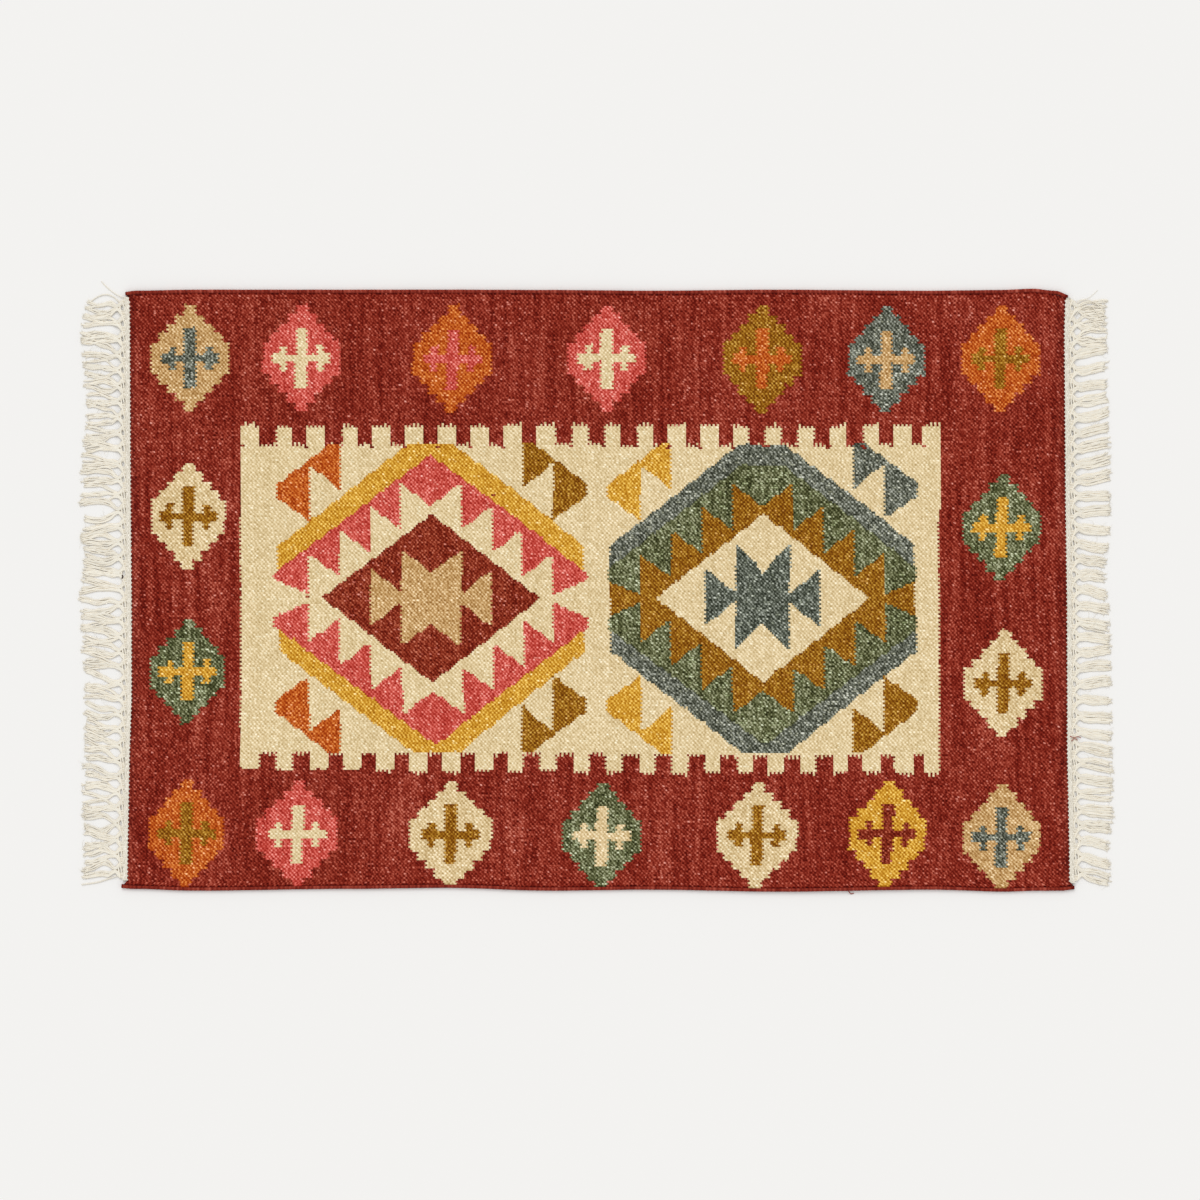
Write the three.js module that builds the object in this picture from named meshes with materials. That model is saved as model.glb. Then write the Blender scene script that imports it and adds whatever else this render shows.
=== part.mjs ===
// Flat-woven wool rug on a cotton warp, lying flat, with a cotton heading, a twined row and a
// warp fringe at each end. Millimetres: +X along the warp, +Y across it, +Z up, the floor at z = 0.
import * as THREE from 'three';

const { clamp, lerp, smoothstep } = THREE.MathUtils;

// Driving dimensions. The span is where the wool ends, but for the ends' own unevenness below.
const CLOTH_SPAN = { left: -544, right: 549 };
const CLOTH_THICK = 4.0;
const HEADING_WIDE = 4.9;
const HEADING_THICK = 3.0;
const TWINE_WIDE = 5.6;
const TWINE_NECK = 3.8;
const TWINE_HIGH = 3.2;
const FRINGE_THICK = 1.8;
const SPINE_WIDE = 1.4;
const TUFT_COUNT = 37;
const GAP = 0.3;

// How far out from the wool the twined row's middle and the fringe's inner edge lie
const TWINE_MIDDLE = GAP + HEADING_WIDE + GAP + TWINE_WIDE / 2;
const FRINGE_START = TWINE_MIDDLE + TWINE_WIDE / 2 + GAP;

// How finely the outlines and the cloth's surface are divided
const CLOTH_STATIONS = 36;
const TWINE_STEPS_PER_TUFT = 4;

// The two long edges by place along the rug: front is the -Y side, back the +Y side
const LONG_EDGES = [
  { x: -550, front: -346.6, back: 347.0 },
  { x: -531, front: -348.0, back: 349.0 },
  { x: -461, front: -350.1, back: 350.1 },
  { x: -287, front: -348.0, back: 350.1 },
  { x: -171, front: -346.8, back: 350.1 },
  { x: -54, front: -350.1, back: 349.7 },
  { x: 62, front: -348.9, back: 348.9 },
  { x: 208, front: -351.2, back: 350.1 },
  { x: 388, front: -348.9, back: 348.9 },
  { x: 470, front: -351.2, back: 349.7 },
  { x: 510, front: -350.1, back: 351.2 },
  { x: 534, front: -350.1, back: 348.9 },
  { x: 552, front: -348.4, back: 343.7 },
];

// The two ends of the wool cloth by place across it, with the flared corners
const END_EDGES = [
  { y: -352, left: -550.5, right: 556.0 },
  { y: -344, left: -552.0, right: 555.0 },
  { y: -339, left: -546.8, right: 551.4 },
  { y: -300, left: -546.4, right: 551.2 },
  { y: -244, left: -545.3, right: 550.0 },
  { y: -186, left: -544.2, right: 548.8 },
  { y: -128, left: -542.0, right: 548.8 },
  { y: -11, left: -542.0, right: 548.4 },
  { y: 105, left: -543.0, right: 546.6 },
  { y: 303, left: -543.8, right: 545.4 },
  { y: 336, left: -544.2, right: 546.4 },
  { y: 346, left: -547.6, right: 548.8 },
  { y: 352, left: -546.0, right: 544.0 },
];

// Height of the corded selvedge by distance in from the long edge, down to the cloth itself
const SELVEDGE = [
  { inward: 0.0, high: 3.0 },
  { inward: 1.2, high: 4.5 },
  { inward: 2.5, high: 4.8 },
  { inward: 3.8, high: 4.5 },
  { inward: 5.0, high: 3.6 },
  { inward: 6.5, high: CLOTH_THICK },
];

// How far each end's heading and twined row reach across the rug
const ENDS = [
  { name: 'left', outward: -1, front: -335, back: 338 },
  { name: 'right', outward: 1, front: -338, back: 338 },
];

// Between these the cloth is flat, clear of the selvedges wherever the long edges run
const FIELD_FRONT = -339.5;
const FIELD_BACK = 337;

// The fringe by place across the rug: x of its tips, and how far a tuft's tip drifts towards +Y
const TIPS = {
  left: [
    { y: -335, x: -599, drift: -5 },
    { y: -300, x: -596, drift: 2 },
    { y: -240, x: -599, drift: 3 },
    { y: -190, x: -595, drift: 6 },
    { y: -110, x: -597, drift: 6 },
    { y: -20, x: -602, drift: 2 },
    { y: 30, x: -597, drift: 0 },
    { y: 70, x: -600, drift: -4 },
    { y: 140, x: -600, drift: 4 },
    { y: 200, x: -594, drift: 0 },
    { y: 290, x: -600, drift: 5 },
    { y: 340, x: -595, drift: 2 },
  ],
  right: [
    { y: -342, x: 599, drift: -5 },
    { y: -300, x: 597, drift: -9 },
    { y: -250, x: 602, drift: -3 },
    { y: -171, x: 600, drift: -4 },
    { y: -95, x: 599, drift: 2 },
    { y: -25, x: 597, drift: -6 },
    { y: 28, x: 592, drift: -3 },
    { y: 43, x: 594, drift: -7 },
    { y: 80, x: 598, drift: 0 },
    { y: 155, x: 598, drift: 7 },
    { y: 270, x: 594, drift: 5 },
    { y: 340, x: 593, drift: 0 },
  ],
};

// Half the width of a tuft along its own length, from the twined row to its tip
const TUFT_HALF = {
  left: [
    { along: 0.0, half: 2.8 },
    { along: 0.3, half: 5.4 },
    { along: 0.75, half: 6.0 },
    { along: 0.95, half: 5.4 },
    { along: 1.0, half: 4.0 },
  ],
  right: [
    { along: 0.0, half: 2.8 },
    { along: 0.25, half: 4.6 },
    { along: 0.7, half: 5.0 },
    { along: 0.95, half: 4.8 },
    { along: 1.0, half: 3.8 },
  ],
};

// The two rows of a table around a place, and the place's share of the way between them
function around(table, key, place) {
  const found = table.findIndex((row) => row[key] >= place);
  const upper = found < 0 ? table.length - 1 : Math.max(found, 1);
  const [low, high] = [table[upper - 1], table[upper]];
  return { low, high, share: clamp((place - low[key]) / (high[key] - low[key]), 0, 1) };
}

function straight(table, key, place, column) {
  const { low, high, share } = around(table, key, place);
  return lerp(low[column], high[column], share);
}

function eased(table, key, place, column) {
  const { low, high, share } = around(table, key, place);
  return lerp(low[column], high[column], smoothstep(share, 0, 1));
}

const endEdge = (end, y) => straight(END_EDGES, 'y', y, end);
const longEdge = (side, x) => eased(LONG_EDGES, 'x', x, side);

// Rows of the ends' table strictly between two places across the rug
function rowsBetween(front, back) {
  return END_EDGES.map(({ y }) => y).filter((y) => y > front && y < back);
}

// Across the rug at one place along it: y and height of the cloth's top, selvedge to selvedge
function crossing(x) {
  const front = longEdge('front', x);
  const back = longEdge('back', x);
  const rising = SELVEDGE.map(({ inward, high }) => ({ y: front + inward, high }));
  const field = rowsBetween(FIELD_FRONT, FIELD_BACK).map((y) => ({ y, high: CLOTH_THICK }));
  const falling = SELVEDGE.map(({ inward, high }) => ({ y: back - inward, high })).reverse();
  return [...rising, ...field, ...falling];
}

// A closed solid from its points and its triangles, which are listed facing out
function solid(positions, index) {
  const geometry = new THREE.BufferGeometry();
  geometry.setAttribute('position', new THREE.Float32BufferAttribute(positions, 3));
  geometry.setIndex(index);
  geometry.computeVertexNormals();
  return geometry;
}

// The wool cloth: one solid whose sections run from the left end to the right
function clothGeometry() {
  const positions = [];
  const index = [];
  let ring = 0;
  for (let station = 0; station <= CLOTH_STATIONS; station += 1) {
    const share = station / CLOTH_STATIONS;
    const section = crossing(lerp(CLOTH_SPAN.left, CLOTH_SPAN.right, share));
    const along = (y) => lerp(endEdge('left', y), endEdge('right', y), share);
    section.forEach(({ y }) => positions.push(along(y), y, 0));
    section.toReversed().forEach(({ y, high }) => positions.push(along(y), y, high));
    ring = 2 * section.length;
  }
  for (let station = 0; station < CLOTH_STATIONS; station += 1) {
    for (let k = 0; k < ring; k += 1) {
      const next = (k + 1) % ring;
      const here = station * ring;
      const there = here + ring;
      index.push(here + k, here + next, there + next, here + k, there + next, there + k);
    }
  }
  const lastRing = CLOTH_STATIONS * ring;
  for (let k = 0; k < ring / 2 - 1; k += 1) {
    const [low, lowNext, highNext, high] = [k, k + 1, ring - 2 - k, ring - 1 - k];
    index.push(low, highNext, lowNext, low, high, highNext);
    index.push(lastRing + low, lastRing + lowNext, lastRing + highNext);
    index.push(lastRing + low, lastRing + highNext, lastRing + high);
  }
  return solid(positions, index);
}

// A quad of plan points turned so that it runs counter-clockwise seen from above
function turned(points, quad) {
  const corners = quad.map((k) => new THREE.Vector2(...points[k]));
  return THREE.ShapeUtils.isClockWise(corners) ? quad.toReversed() : quad;
}

// A flat solid from points in plan and the quads between them, with walls along their open edges
function slab(points, quads, thick) {
  const count = points.length;
  const faces = quads.map((quad) => turned(points, quad));
  const edgesOf = (quad) => quad.map((from, k) => `${from} ${quad[(k + 1) % 4]}`);
  const edges = new Set(faces.flatMap(edgesOf));
  const index = [];
  for (const [a, b, c, d] of faces) {
    index.push(a + count, b + count, c + count, a + count, c + count, d + count);
    index.push(a, c, b, a, d, c);
    for (const [from, to] of [[a, b], [b, c], [c, d], [d, a]]) {
      if (!edges.has(`${to} ${from}`)) {
        index.push(from, to, to + count, from, to + count, from + count);
      }
    }
  }
  const level = (z) => points.flatMap(([x, y]) => [x, y, z]);
  return solid([...level(0), ...level(thick)], index);
}

// The quads between two lines of as many points, held one after the other in a list
function rungs(count) {
  return Array.from({ length: count - 1 }, (_, k) => [k, k + 1, count + k + 1, count + k]);
}

// The point a distance out from the wool's end, at a place across the rug
const outFrom = (end, offset, y) => [endEdge(end.name, y) + end.outward * offset, y];

// A line that follows an end of the wool at a distance, from the end's front to its back
function alongEnd(end, offset) {
  const places = [end.front, ...rowsBetween(end.front, end.back), end.back];
  return places.map((y) => outFrom(end, offset, y));
}

// The heading: a narrow cotton strip woven along the end of the wool
function headingGeometry(end) {
  const inner = alongEnd(end, GAP);
  const outer = alongEnd(end, GAP + HEADING_WIDE);
  return slab([...inner, ...outer], rungs(inner.length), HEADING_THICK);
}

// The twined row: a cord that swells where its two strands part and narrows where they cross
function twineGeometry(end) {
  const steps = TUFT_COUNT * TWINE_STEPS_PER_TUFT;
  const line = (side) => Array.from({ length: steps + 1 }, (_, step) => {
    const swell = Math.sin((Math.PI * step) / TWINE_STEPS_PER_TUFT) ** 2;
    const half = lerp(TWINE_NECK, TWINE_WIDE, swell) / 2;
    return outFrom(end, TWINE_MIDDLE + side * half, lerp(end.front, end.back, step / steps));
  });
  return slab([...line(-1), ...line(1)], rungs(steps + 1), TWINE_HIGH);
}

// The pairs of points across one tuft, from its root on the spine out to its tip
function tuftPairs(end, y) {
  const [root] = outFrom(end, FRINGE_START + SPINE_WIDE, y);
  const tip = eased(TIPS[end.name], 'y', y, 'x');
  const drift = eased(TIPS[end.name], 'y', y, 'drift');
  return TUFT_HALF[end.name].map(({ along, half }) => [-half, half].map((across) => [
    lerp(root, tip, along),
    y + drift * along + across,
  ]));
}

// The fringe: one comb, a narrow spine with a tooth for each tuft of warp ends
function fringeGeometry(end) {
  const pitch = (end.back - end.front) / TUFT_COUNT;
  const middles = Array.from({ length: TUFT_COUNT }, (_, k) => end.front + (k + 0.5) * pitch);
  const tufts = middles.map((y) => tuftPairs(end, y));
  const corner = (y) => outFrom(end, FRINGE_START + SPINE_WIDE, y);
  const outer = [corner(end.front), ...tufts.flatMap(([root]) => root), corner(end.back)];
  const inner = outer.map(([, y]) => outFrom(end, FRINGE_START, y));
  const points = [...inner, ...outer];
  const quads = rungs(inner.length);
  tufts.forEach(([, ...pairs], k) => {
    let [low, high] = [inner.length + 2 * k + 1, inner.length + 2 * k + 2];
    for (const pair of pairs) {
      const next = points.length;
      points.push(...pair);
      quads.push([low, next, next + 1, high]);
      [low, high] = [next, next + 1];
    }
  });
  return slab(points, quads, FRINGE_THICK);
}

const wool = new THREE.MeshStandardMaterial({ color: 0x872f27, roughness: 0.95, metalness: 0 });
const heading = new THREE.MeshStandardMaterial({ color: 0xe2d9c2, roughness: 0.9, metalness: 0 });
const cotton = new THREE.MeshStandardMaterial({ color: 0xe6dfcc, roughness: 0.85, metalness: 0 });

const rug = new THREE.Group();

function addPiece(name, geometry, material) {
  const piece = new THREE.Mesh(geometry, material);
  piece.name = name;
  rug.add(piece);
}

addPiece('rug_cloth', clothGeometry(), wool);
for (const end of ENDS) {
  addPiece(`heading_${end.name}`, headingGeometry(end), heading);
  addPiece(`twine_${end.name}`, twineGeometry(end), cotton);
  addPiece(`fringe_${end.name}`, fringeGeometry(end), cotton);
}

export default rug;
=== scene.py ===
"""A flat-woven wool rug lying on a pale floor, seen from straight above.

Sizes are in millimetres, as in the part's source, and Mesh.build turns them into metres.
+X runs along the warp, +Y across the rug and +Z up.
"""

import math

import bpy
import numpy as np
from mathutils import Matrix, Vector


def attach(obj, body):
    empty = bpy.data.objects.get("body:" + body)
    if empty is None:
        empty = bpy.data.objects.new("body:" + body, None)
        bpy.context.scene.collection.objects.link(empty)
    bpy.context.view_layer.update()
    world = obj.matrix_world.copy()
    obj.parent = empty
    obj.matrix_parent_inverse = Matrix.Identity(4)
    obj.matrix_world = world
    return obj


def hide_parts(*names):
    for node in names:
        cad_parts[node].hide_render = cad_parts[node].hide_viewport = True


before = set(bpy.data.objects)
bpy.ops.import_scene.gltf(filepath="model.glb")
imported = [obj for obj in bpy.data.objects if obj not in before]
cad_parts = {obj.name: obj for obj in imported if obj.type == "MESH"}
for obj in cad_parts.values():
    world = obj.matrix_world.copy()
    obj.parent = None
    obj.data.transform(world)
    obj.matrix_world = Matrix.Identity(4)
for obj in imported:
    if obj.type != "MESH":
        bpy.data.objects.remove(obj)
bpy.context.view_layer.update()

MM = 0.001

# The outline, as in the part's source
SPAN = (-544.0, 549.0)
CLOTH_TOP = 4.0
HEADING_WIDE = 4.9
HEADING_TOP = 3.0
TWINE_WIDE = 5.6
GAP = 0.3
TUFTS = 37
TWINE_MIDDLE = GAP + HEADING_WIDE + GAP + TWINE_WIDE / 2

# Columns: x, front edge's y, back edge's y
LONG_EDGES = np.array([
    (-550, -346.6, 347.0),
    (-531, -348.0, 349.0),
    (-461, -350.1, 350.1),
    (-287, -348.0, 350.1),
    (-171, -346.8, 350.1),
    (-54, -350.1, 349.7),
    (62, -348.9, 348.9),
    (208, -351.2, 350.1),
    (388, -348.9, 348.9),
    (470, -351.2, 349.7),
    (510, -350.1, 351.2),
    (534, -350.1, 348.9),
    (552, -348.4, 343.7),
])
FRONT, BACK = 1, 2

# Columns: y, left end's x, right end's x
END_EDGES = np.array([
    (-352, -550.5, 556.0),
    (-344, -552.0, 555.0),
    (-339, -546.8, 551.4),
    (-300, -546.4, 551.2),
    (-244, -545.3, 550.0),
    (-186, -544.2, 548.8),
    (-128, -542.0, 548.8),
    (-11, -542.0, 548.4),
    (105, -543.0, 546.6),
    (303, -543.8, 545.4),
    (336, -544.2, 546.4),
    (346, -547.6, 548.8),
    (352, -546.0, 544.0),
])

# How far each end's heading and twined row reach across the rug, and the fringe's tips by place
# across it. Columns of tips: y, x, how far a tuft's tip drifts towards +Y
ENDS = {
    "left": dict(column=1, outward=-1, front=-335, back=338, share=0.0, tips=np.array([
        (-335, -599, -5),
        (-300, -596, 2),
        (-240, -599, 3),
        (-190, -595, 6),
        (-110, -597, 6),
        (-20, -602, 2),
        (30, -597, 0),
        (70, -600, -4),
        (140, -600, 4),
        (200, -594, 0),
        (290, -600, 5),
        (340, -595, 2),
    ])),
    "right": dict(column=2, outward=1, front=-338, back=338, share=1.0, tips=np.array([
        (-342, 599, -11),
        (-300, 597, -9),
        (-250, 602, -3),
        (-171, 600, -4),
        (-95, 599, 2),
        (-25, 597, -6),
        (28, 592, -3),
        (43, 594, -7),
        (80, 598, 0),
        (155, 598, 7),
        (270, 594, 5),
        (340, 593, 0),
    ])),
}

# The selvedge: a wrapped cord, and how far in from its outer edge the flat cloth begins
CORD_RADIUS = 2.35
CLOTH_INWARD = 3.9

# The weave: a float of weft covers two picks on one rib, and the next rib's lie one pick on
RIBS = 286
PICKS = 456
PICKS_PER_FACE = 8
RIDGE = 0.30

# Columns: colour, its flecks' colour, share of flecked floats, unevenness of floats and wefts,
# depth of the painted shade in the gaps between floats and painted light on their crowns, depth of
# streaks of dye
YARNS = {
    "red": ((132, 40, 26), (190, 100, 84), 0.03, 0.27, 0.15, 0.14),
    "maroon": ((131, 43, 24), (190, 100, 84), 0.03, 0.30, 0.16, 0.08),
    "edge": ((134, 46, 33), (190, 104, 90), 0.00, 0.12, 0.05, 0.14),
    "cream": ((226, 203, 157), (246, 232, 196), 0.04, 0.20, 0.15, 0.04),
    "oat": ((221, 195, 147), (244, 228, 190), 0.05, 0.25, 0.17, 0.05),
    "pink": ((202, 79, 68), (240, 152, 138), 0.05, 0.28, 0.20, 0.10),
    "yellow": ((211, 154, 48), (248, 212, 130), 0.05, 0.26, 0.22, 0.05),
    "orange": ((187, 84, 24), (236, 150, 92), 0.06, 0.28, 0.19, 0.06),
    "brown": ((145, 92, 16), (206, 152, 72), 0.04, 0.27, 0.20, 0.06),
    "green": ((93, 96, 62), (172, 180, 138), 0.11, 0.40, 0.20, 0.15),
    "slate": ((94, 97, 84), (170, 172, 152), 0.12, 0.42, 0.20, 0.05),
    "iron": ((85, 90, 78), (162, 168, 150), 0.10, 0.38, 0.20, 0.05),
    "tan": ((198, 157, 102), (238, 204, 152), 0.05, 0.28, 0.20, 0.05),
    "cotton": ((230, 223, 208), (244, 238, 224), 0.05, 0.20, 0.10, 0.03),
}
INDEX = {yarn: number for number, yarn in enumerate(YARNS)}
DIGIT = 16


def ease(share):
    """A share from 0 to 1, eased at both ends."""
    share = np.clip(share, 0, 1)
    return share * share * (3 - 2 * share)


def straight(table, places, column):
    """A table's column read at places, straight between its rows."""
    return np.interp(places, table[:, 0], table[:, column])


def eased(table, places, column):
    """A table's column read at places, eased between its rows."""
    keys = table[:, 0]
    places = np.clip(places, keys[0], keys[-1])
    row = np.clip(np.searchsorted(keys, places), 1, len(keys) - 1)
    share = ease((places - keys[row - 1]) / (keys[row] - keys[row - 1]))
    return table[row - 1, column] * (1 - share) + table[row, column] * share


def long_edges(along):
    """y of the front and back edges at shares of the way along the rug."""
    nominal = SPAN[0] + (SPAN[1] - SPAN[0]) * along
    return eased(LONG_EDGES, nominal, FRONT), eased(LONG_EDGES, nominal, BACK)


def between_ends(along, y):
    """x at a share of the way from the left end to the right one."""
    left, right = straight(END_EDGES, y, 1), straight(END_EDGES, y, 2)
    return left + (right - left) * along


def on_cloth(along, across):
    """x and y at shares of the way along the rug, and across it between its selvedges."""
    front, back = long_edges(along)
    y = (front + CLOTH_INWARD) * (1 - across) + (back - CLOTH_INWARD) * across
    return between_ends(along, y), y


def ripple(x, y):
    """How far the cloth stands off the floor: about a millimetre here and there."""
    long_waves = 0.55 * np.sin(x / 83 + y / 190 + 0.4) + 0.40 * np.sin(y / 71 - x / 240 + 2.0)
    short_waves = 0.25 * np.sin(x / 37 + 1.3) * np.sin(y / 52 + 0.5)
    return np.clip(long_waves + short_waves, 0, None)


# Meshes


def grid_faces(rows, columns):
    """The quads of a grid of points held row by row."""
    first = np.arange(rows - 1)[:, None] * columns + np.arange(columns - 1)
    return np.stack([first, first + 1, first + columns + 1, first + columns], -1).reshape(-1, 4)


def grid_corners(values):
    """A pair for each corner of each quad of a grid, from the pairs at its points."""
    corners = [values[:-1, :-1], values[:-1, 1:], values[1:, 1:], values[1:, :-1]]
    return np.stack(corners, 2).reshape(-1, 4, values.shape[-1])


class Mesh:
    """Collects quads with their maps and face values."""

    def __init__(self):
        self.points, self.faces, self.maps, self.charts, self.smooth = [], [], {}, [], []
        self.count = 0

    def add(self, points, faces, weave, bake, chart=(0.0, 0.0), smooth=True):
        """Adds quads. weave and bake hold a pair for each corner of each quad."""
        self.points.append(points.reshape(-1, 3))
        self.faces.append(faces + self.count)
        self.count += len(self.points[-1])
        for name, values in (("weave", weave), ("OFBake", bake)):
            self.maps.setdefault(name, []).append(values.reshape(-1, 2))
        self.charts.append(np.broadcast_to(np.asarray(chart, float), (len(faces), 2)))
        self.smooth.append(np.full(len(faces), smooth))

    def build(self, name, material):
        """Makes the object, in metres, and lets it ride on the rug."""
        points = np.concatenate(self.points) * MM
        faces = np.concatenate(self.faces)
        mesh = bpy.data.meshes.new(name)
        mesh.vertices.add(len(points))
        mesh.vertices.foreach_set("co", points.astype(np.float32).ravel())
        mesh.loops.add(faces.size)
        mesh.loops.foreach_set("vertex_index", faces.astype(np.int32).ravel())
        mesh.polygons.add(len(faces))
        mesh.polygons.foreach_set("loop_start", np.arange(0, faces.size, 4, dtype=np.int32))
        mesh.polygons.foreach_set("use_smooth", np.concatenate(self.smooth))
        mesh.update(calc_edges=True)
        for layer_name, values in self.maps.items():
            layer = mesh.uv_layers.new(name=layer_name)
            layer.data.foreach_set("uv", np.concatenate(values).astype(np.float32).ravel())
        charts = np.concatenate(self.charts)
        charts = np.hstack([charts, np.zeros((len(charts), 1))])
        attribute = mesh.attributes.new("chart", "FLOAT_VECTOR", "FACE")
        attribute.data.foreach_set("vector", charts.astype(np.float32).ravel())
        mesh.materials.append(material)
        piece = bpy.data.objects.new(name, mesh)
        bpy.context.scene.collection.objects.link(piece)
        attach(piece, "root")
        return piece


# Where each side of a slab goes in the square map that its material is baked to
TOP_BAND = (0.385, 0.995)
UNDER_BAND = (0.005, 0.350)
EDGE_BANDS = ((0.355, 0.360), (0.363, 0.368), (0.371, 0.374), (0.377, 0.380))


def add_slab(mesh, top, under, weave, shares, chart):
    """Adds a closed slab: a grid of points above, one below, and walls along their edges.

    weave holds the weave map's pair for each point, shares the point's place in a bake band.
    """
    rows, columns, _ = top.shape
    faces = grid_faces(rows, columns)
    corners = grid_corners(weave)

    def bake(band):
        pairs = np.stack([0.004 + 0.992 * shares[..., 0], shares[..., 1]], -1)
        pairs[..., 1] = band[0] + (band[1] - band[0]) * pairs[..., 1]
        return grid_corners(pairs)

    mesh.add(top, faces, corners, bake(TOP_BAND), chart)
    mesh.add(under, faces[:, ::-1], corners[:, ::-1], bake(UNDER_BAND)[:, ::-1], chart)

    # The walls share the points of the two grids, so that the slab is one closed mesh
    point = np.arange(rows * columns).reshape(rows, columns) - 2 * rows * columns
    corners = corners.reshape(rows - 1, columns - 1, 4, 2)
    chart = np.broadcast_to(chart, (len(faces), 2)).reshape(rows - 1, columns - 1, 2)
    walls = (
        (point[0], corners[0], chart[0], False),
        (point[-1], corners[-1], chart[-1], True),
        (point[:, 0], corners[:, 0], chart[:, 0], True),
        (point[:, -1], corners[:, -1], chart[:, -1], False),
    )
    for (upper, near, values, flipped), (low, high) in zip(walls, EDGE_BANDS):
        lower = upper + rows * columns
        wall = np.stack([lower[:-1], lower[1:], upper[1:], upper[:-1]], -1)
        places = np.linspace(0.004, 0.996, len(upper))
        places = np.stack([places[:-1], places[1:], places[1:], places[:-1]], -1)
        pairs = np.stack([places, np.broadcast_to([low, low, high, high], places.shape)], -1)
        if flipped:
            wall, pairs = wall[:, ::-1], pairs[:, ::-1]
        mesh.add(np.zeros((0, 3)), wall, near, pairs, values, smooth=False)


def add_tubes(mesh, paths, radii, sides, along, around=(0.0, 1.0), numbers=0.0, squash=1.0,
              lobes=1.0, grid=(1, 1), region=(0.0, 0.0, 1.0, 1.0)):
    """Adds closed tubes of an even number of sides.

    paths is tubes by steps by 3, and radii and along are tubes by steps. The weave map holds
    along, and around over a turn. numbers is each tube's chart value. squash is a section's height
    over its width. lobes scales the radius of each point of a section. Each tube has a cell of its
    own in a grid of columns and rows that fills a region of the square bake map.
    """
    count, steps, _ = paths.shape
    tangent = np.gradient(paths, axis=1)
    tangent /= np.linalg.norm(tangent, axis=2, keepdims=True)
    side = np.cross(tangent, (0.0, 0.0, 1.0))
    side /= np.linalg.norm(side, axis=2, keepdims=True)
    up = np.cross(side, tangent)
    angle = 2 * math.pi * np.arange(sides) / sides
    reach = radii[:, :, None] * lobes
    wide = (reach * np.cos(angle))[..., None] * side[:, :, None]
    high = (reach * np.sin(angle))[..., None] * up[:, :, None] * squash
    points = paths[:, :, None] + wide + high

    ring = np.arange(sides)
    step = np.arange(steps - 1)[:, None] * sides
    here, there = step + ring, step + (ring + 1) % sides
    walls = np.stack([here, here + sides, there + sides, there], -1).reshape(-1, 4)
    fan = np.array([(0, k - 1, k, k + 1) for k in range(2, sides, 2)])
    last = (steps - 1) * sides
    faces = np.concatenate([walls, fan, fan[:, ::-1] + last])

    # Each corner's step and place in the ring, the last place of a wall being a whole turn
    turn = np.stack([ring, ring, ring + 1, ring + 1], -1)
    wall_turns = np.broadcast_to(turn, (steps - 1, sides, 4)).reshape(-1, 4)
    turns = np.concatenate([wall_turns, fan, fan[:, ::-1]]) / sides
    levels = faces // sides
    along_corners = along[:, levels]
    around_corners = around[0] + (around[1] - around[0]) * turns
    weave = np.stack([along_corners, np.broadcast_to(around_corners, along_corners.shape)], -1)

    number = np.arange(count)
    cell = np.stack([number % grid[0], number // grid[0]], -1)[:, None, None]
    inside = 0.03 + 0.94 * np.stack([levels / (steps - 1), turns], -1)
    low, high = np.array(region[:2]), np.array(region[2:])
    bake = low + (high - low) * (cell + inside) / grid

    offsets = np.arange(count)[:, None, None] * steps * sides
    values = np.broadcast_to(numbers, count).repeat(len(faces))
    chart = np.stack([values, values], -1)
    mesh.add(points, (faces + offsets).reshape(-1, 4), weave, bake, chart)


# The woven pattern


def wandering(x, y):
    """The places of the drawn pattern, which wander a little, as they do in hand weaving."""
    shift = 0.6 * np.sin(x / 67 + y / 43 + 0.7) + 0.3 * np.sin(y / 29 - x / 61)
    lift = 0.8 * np.sin(x / 71 - y / 57 + 2.1) + 0.3 * np.sin(x / 33 + 0.4)
    return x + shift, y + lift


FIELD_X = (-414.0, 399.2)
FIELD_Y = (-210.4, 190.0)
FRONT_FALL = 0.0056

# The comb's rows, front and back: the first tooth's start, how far the middle ones are bowed
# towards +X, and the teeth's length
COMBS = ((-392.5, 5.0, 20.4), (-394.2, 3.2, 22.6))
COMB_TEETH = 21
COMB_PITCH, COMB_TOOTH = 38.0, 19.2
COMB_LAST = (1, 1, 0.86, 0.74)
# How far a tooth's start and its width may stray
STRAY_START, STRAY_WIDTH = 0.7, 1
# Weft tails: half their size, how far they lie in from a tooth's corner and how far below it
TAIL_HALF, TAIL_IN, TAIL_BELOW = (1.7, 2.0), 1, 0.6
# The field's front edge is even as far as this x, up to this height
EVEN_TO, EVEN_HIGH = -274, 8


class Field:
    """The cream field with a comb of red teeth let into its front and back edges."""

    def __init__(self, dice):
        number = np.arange(COMB_TEETH)
        bow = np.sin(math.pi * number / (COMB_TEETH - 1))
        starts = [first + COMB_PITCH * number + bend * bow for first, bend, _ in COMBS]
        shape = (2, COMB_TEETH)
        self.starts = np.array(starts) + dice.uniform(-STRAY_START, STRAY_START, shape)
        self.widths = COMB_TOOTH + dice.uniform(-STRAY_WIDTH, STRAY_WIDTH, shape)
        self.widths[:, -len(COMB_LAST):] *= COMB_LAST

    def cream(self, x, y):
        """Where the field is cream, before anything is drawn on it."""
        front = FIELD_Y[0] - FRONT_FALL * x
        inside = (x > FIELD_X[0]) & (x < FIELD_X[1]) & (y > front) & (y < FIELD_Y[1])
        edges = (y < front + COMBS[0][2], y > FIELD_Y[1] - COMBS[1][2])
        for edge, starts, widths in zip(edges, self.starts, self.widths):
            for start, width in zip(starts, widths):
                inside &= ~(edge & (x > start) & (x < start + width))
        return inside

    def tails(self):
        """Places of the weft tails below the right corners of the back comb's red teeth."""
        ends = self.starts[1] + self.widths[1]
        return [(end - TAIL_IN, FIELD_Y[1] - COMBS[1][2] - TAIL_BELOW) for end in ends]


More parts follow.
